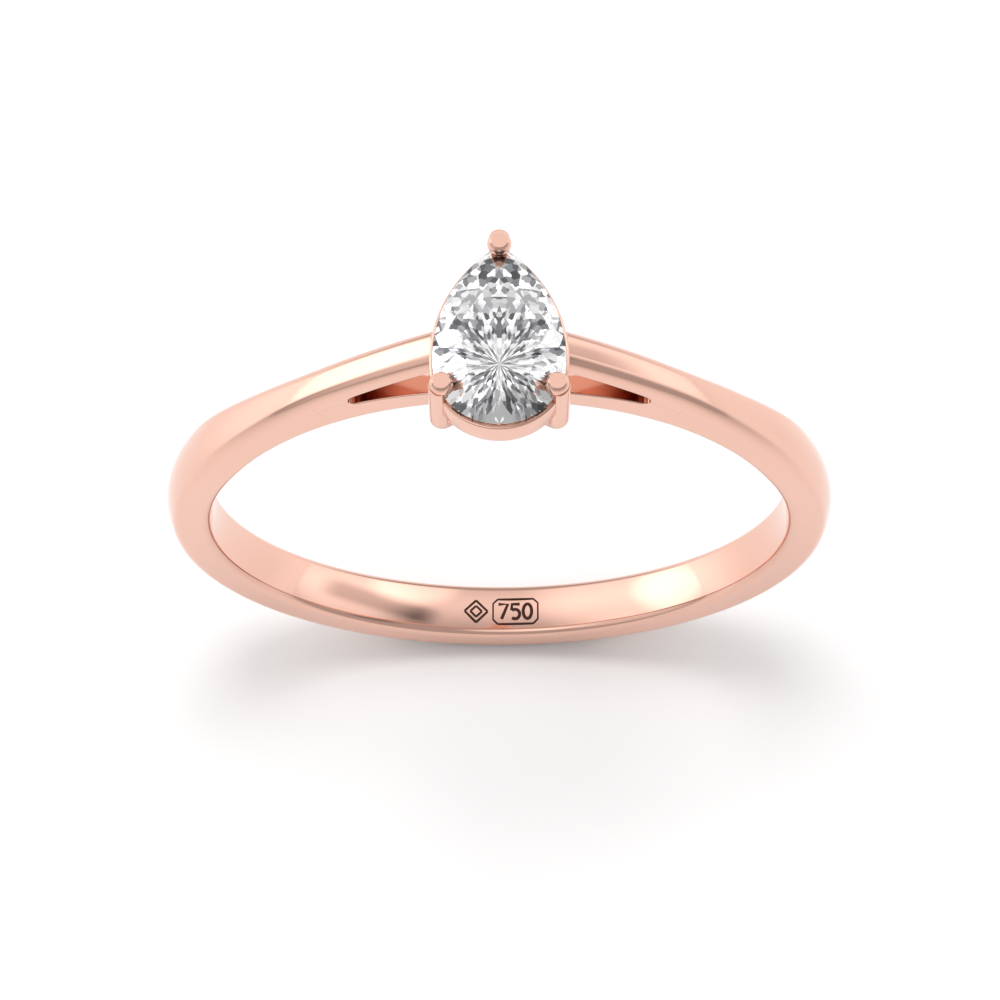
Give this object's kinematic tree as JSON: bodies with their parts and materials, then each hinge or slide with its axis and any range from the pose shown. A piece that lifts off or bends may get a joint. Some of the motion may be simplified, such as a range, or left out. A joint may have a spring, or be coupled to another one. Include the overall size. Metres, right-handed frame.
{
  "type": "engagement ring",
  "caption": "Slim rose gold ring with open cathedral shoulders and a pear-shaped brilliant held by round claws over a low gallery rail.",
  "frame": {"origin": "centre of the finger hole, halfway across the band's width", "axes": "+Z from the finger to the stone, +Y along the finger toward the point of the pear, X across the hand"},
  "size_m": [0.019, 0.0055, 0.0216],
  "materials": {
    "rose_gold_band": "polished rose gold",
    "rose_gold_head": "polished rose gold",
    "diamond": "polished, faceted, colourless"
  },
  "bodies": {
    "root": {"shank": "rose_gold_band", "shoulder_left": "rose_gold_band", "shoulder_right": "rose_gold_band", "collet": "rose_gold_head", "gallery_rail": "rose_gold_head", "claw_left": "rose_gold_head", "claw_right": "rose_gold_head", "claw_point": "rose_gold_head", "diamond": "diamond"}
  },
  "joints": []
}
